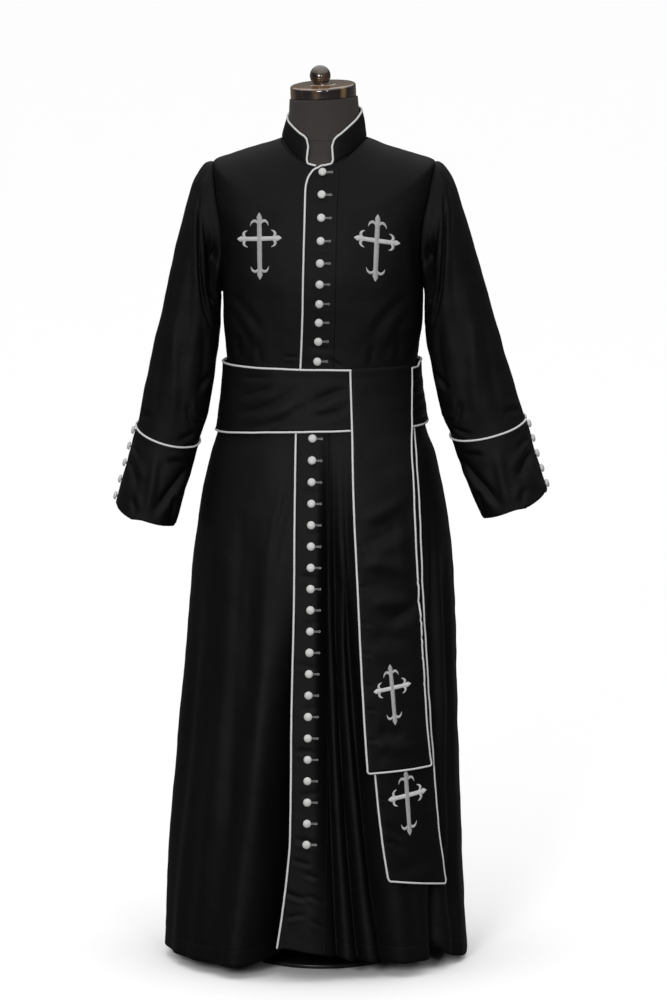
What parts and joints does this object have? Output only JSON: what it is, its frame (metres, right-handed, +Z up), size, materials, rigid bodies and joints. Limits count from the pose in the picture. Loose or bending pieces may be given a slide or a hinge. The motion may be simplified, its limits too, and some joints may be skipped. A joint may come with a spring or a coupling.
{
  "type": "clergy robe on a limbless dress form",
  "caption": "Long clergy robe with standing collar, piped button front, turned cuffs and a wide band cincture with two hanging tails, filled out on a limbless dress form.",
  "frame": {"origin": "centre of the underside of the dress form's round base, on the ground", "axes": "+Z up, -Y out of the robe's front, +X towards the wearer's left"},
  "size_m": [0.8161, 0.5416, 1.6819],
  "materials": {
    "robe_cloth": "black woven suiting with a soft low sheen",
    "piping": "white satin bias piping",
    "button_cloth": "off-white satin stretched over a domed button",
    "embroidery": "silver-grey satin-stitch thread",
    "form_jersey": "dark matt jersey cover",
    "form_cap": "glossy dark brown lacquer",
    "stand_metal": "satin black"
  },
  "bodies": {
    "root": {"bodice_front_right": "robe_cloth", "bodice_front_left": "robe_cloth", "bodice_back": "robe_cloth", "skirt_front_right": "robe_cloth", "skirt_front_left": "robe_cloth", "skirt_back": "robe_cloth", "placket": "robe_cloth", "collar": "robe_cloth", "sleeve_right": "robe_cloth", "sleeve_left": "robe_cloth", "cuff_right": "robe_cloth", "cuff_left": "robe_cloth", "sash_band": "robe_cloth", "tail_front": "robe_cloth", "tail_rear": "robe_cloth", "piping_cuff_right": "piping", "piping_cuff_left": "piping", "piping_neck_and_front": "piping", "piping_band": "piping", "piping_tail_front": "piping", "piping_tail_rear": "piping", "cuff_buttons_right": "button_cloth", "cuff_buttons_left": "button_cloth", "button_01": "button_cloth", "button_02": "button_cloth", "button_03": "button_cloth", "button_04": "button_cloth", "button_05": "button_cloth", "button_06": "button_cloth", "button_07": "button_cloth", "button_08": "button_cloth", "button_09": "button_cloth", "button_10": "button_cloth", "button_11": "button_cloth", "button_12": "button_cloth", "button_13": "button_cloth", "button_14": "button_cloth", "button_15": "button_cloth", "button_16": "button_cloth", "button_17": "button_cloth", "button_18": "button_cloth", "button_19": "button_cloth", "button_20": "button_cloth", "button_21": "button_cloth", "button_22": "button_cloth", "button_23": "button_cloth", "button_24": "button_cloth", "button_25": "button_cloth", "button_26": "button_cloth", "button_27": "button_cloth", "button_28": "button_cloth", "button_29": "button_cloth", "button_30": "button_cloth", "cross_chest_right": "embroidery", "cross_chest_left": "embroidery", "cross_front_tail": "embroidery", "cross_rear_tail": "embroidery", "form_body": "form_jersey", "form_neck_cap": "form_cap", "form_stand": "stand_metal"}
  },
  "joints": []
}
